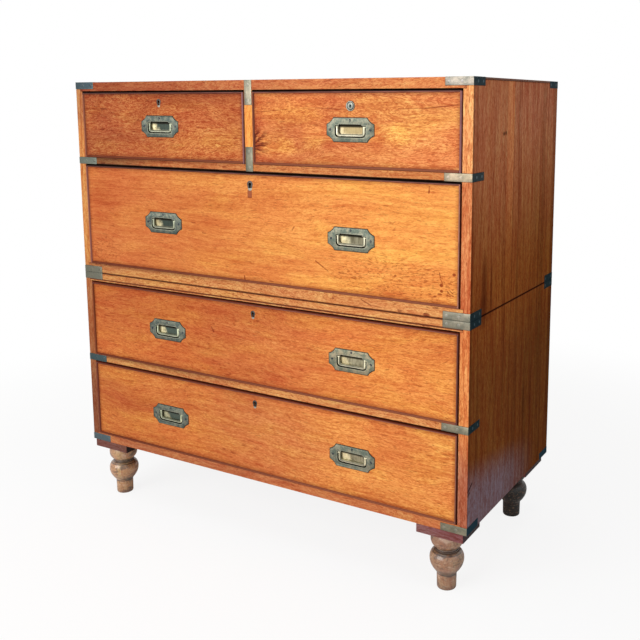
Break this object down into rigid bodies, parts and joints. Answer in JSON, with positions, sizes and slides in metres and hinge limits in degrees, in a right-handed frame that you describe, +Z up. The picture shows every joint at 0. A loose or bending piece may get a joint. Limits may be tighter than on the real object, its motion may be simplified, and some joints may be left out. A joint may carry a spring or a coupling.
{
  "type": "campaign chest",
  "caption": "Two-part wooden campaign chest with short and long drawers, flush brass bail handles, let-in brass corner straps and turned screw-in feet.",
  "frame": {"origin": "on the floor under the middle of the chest's outer box", "axes": "+Z up, the drawer fronts face -Y, +X to the right of a person who faces the drawers"},
  "size_m": [0.9908, 0.463, 0.9921],
  "materials": {
    "case_wood": "worn waxed teak, vertical grain on the sides",
    "front_wood": "worn waxed teak with fine dark flecks, dark cockbead",
    "lining_wood": "bare dry wood",
    "back_wood": "plain dark stained wood",
    "foot_wood": "turned hardwood, worn polish",
    "strap_brass": "brass with grey-green patina",
    "plate_brass": "brass with grey-green patina, polished in the recess",
    "bail_brass": "brass polished by hands"
  },
  "bodies": {
    "lower_case": {"lower_left_side": "case_wood", "lower_right_side": "case_wood", "lower_top_board": "case_wood", "lower_dust_board": "case_wood", "lower_bottom_board": "case_wood", "lower_back_panel": "back_wood", "front_left_foot": "foot_wood", "front_right_foot": "foot_wood", "rear_left_foot": "foot_wood", "rear_right_foot": "foot_wood", "lower_top_left_strap": "strap_brass", "lower_top_right_strap": "strap_brass", "lower_rail_left_strap": "strap_brass", "lower_rail_right_strap": "strap_brass", "lower_base_left_strap": "strap_brass", "lower_base_right_strap": "strap_brass"},
    "upper_case": {"upper_left_side": "case_wood", "upper_right_side": "case_wood", "upper_top_board": "case_wood", "short_drawer_divider": "case_wood", "upper_dust_board": "case_wood", "upper_bottom_board": "case_wood", "upper_back_panel": "back_wood", "top_left_strap": "strap_brass", "top_right_strap": "strap_brass", "upper_rail_left_strap": "strap_brass", "upper_rail_right_strap": "strap_brass", "upper_base_left_strap": "strap_brass", "upper_base_right_strap": "strap_brass", "centre_upper_strap": "strap_brass", "centre_lower_strap": "strap_brass"},
    "top_left_drawer": {"top_left_drawer_front": "front_wood", "top_left_drawer_box": "lining_wood", "top_left_handle_plate": "plate_brass"},
    "top_left_bail": {"top_left_handle_bail": "bail_brass"},
    "top_right_drawer": {"top_right_drawer_front": "front_wood", "top_right_drawer_box": "lining_wood", "top_right_handle_plate": "plate_brass", "top_right_escutcheon": "plate_brass"},
    "top_right_bail": {"top_right_handle_bail": "bail_brass"},
    "deep_drawer": {"deep_drawer_front": "front_wood", "deep_drawer_box": "lining_wood", "deep_left_handle_plate": "plate_brass", "deep_right_handle_plate": "plate_brass"},
    "deep_left_bail": {"deep_left_handle_bail": "bail_brass"},
    "deep_right_bail": {"deep_right_handle_bail": "bail_brass"},
    "third_drawer": {"third_drawer_front": "front_wood", "third_drawer_box": "lining_wood", "third_left_handle_plate": "plate_brass", "third_right_handle_plate": "plate_brass"},
    "third_left_bail": {"third_left_handle_bail": "bail_brass"},
    "third_right_bail": {"third_right_handle_bail": "bail_brass"},
    "bottom_drawer": {"bottom_drawer_front": "front_wood", "bottom_drawer_box": "lining_wood", "bottom_left_handle_plate": "plate_brass", "bottom_right_handle_plate": "plate_brass"},
    "bottom_left_bail": {"bottom_left_handle_bail": "bail_brass"},
    "bottom_right_bail": {"bottom_right_handle_bail": "bail_brass"}
  },
  "joints": [
    {"name": "upper_case_lift", "type": "slide", "parent": "lower_case", "child": "upper_case", "axis": [0, 0, 1], "range_m": [0, 0.06]},
    {"name": "top_left_drawer_slide", "type": "slide", "parent": "upper_case", "child": "top_left_drawer", "axis": [0, -1, 0], "range_m": [0, 0.34]},
    {"name": "top_left_bail_swing", "type": "hinge", "parent": "top_left_drawer", "child": "top_left_bail", "pos_m": [-0.242, -0.2266, 0.90029], "axis": [-1, 0, 0], "range_deg": [0, 90]},
    {"name": "top_right_drawer_slide", "type": "slide", "parent": "upper_case", "child": "top_right_drawer", "axis": [0, -1, 0], "range_m": [0, 0.34]},
    {"name": "top_right_bail_swing", "type": "hinge", "parent": "top_right_drawer", "child": "top_right_bail", "pos_m": [0.242, -0.2266, 0.90029], "axis": [-1, 0, 0], "range_deg": [0, 90]},
    {"name": "deep_drawer_slide", "type": "slide", "parent": "upper_case", "child": "deep_drawer", "axis": [0, -1, 0], "range_m": [0, 0.34]},
    {"name": "deep_left_bail_swing", "type": "hinge", "parent": "deep_drawer", "child": "deep_left_bail", "pos_m": [-0.242, -0.2266, 0.68929], "axis": [-1, 0, 0], "range_deg": [0, 90]},
    {"name": "deep_right_bail_swing", "type": "hinge", "parent": "deep_drawer", "child": "deep_right_bail", "pos_m": [0.242, -0.2266, 0.68929], "axis": [-1, 0, 0], "range_deg": [0, 90]},
    {"name": "third_drawer_slide", "type": "slide", "parent": "lower_case", "child": "third_drawer", "axis": [0, -1, 0], "range_m": [0, 0.34]},
    {"name": "third_left_bail_swing", "type": "hinge", "parent": "third_drawer", "child": "third_left_bail", "pos_m": [-0.242, -0.2266, 0.44539], "axis": [-1, 0, 0], "range_deg": [0, 90]},
    {"name": "third_right_bail_swing", "type": "hinge", "parent": "third_drawer", "child": "third_right_bail", "pos_m": [0.242, -0.2266, 0.44539], "axis": [-1, 0, 0], "range_deg": [0, 90]},
    {"name": "bottom_drawer_slide", "type": "slide", "parent": "lower_case", "child": "bottom_drawer", "axis": [0, -1, 0], "range_m": [0, 0.34]},
    {"name": "bottom_left_bail_swing", "type": "hinge", "parent": "bottom_drawer", "child": "bottom_left_bail", "pos_m": [-0.242, -0.2266, 0.24439], "axis": [-1, 0, 0], "range_deg": [0, 90]},
    {"name": "bottom_right_bail_swing", "type": "hinge", "parent": "bottom_drawer", "child": "bottom_right_bail", "pos_m": [0.242, -0.2266, 0.24439], "axis": [-1, 0, 0], "range_deg": [0, 90]}
  ]
}
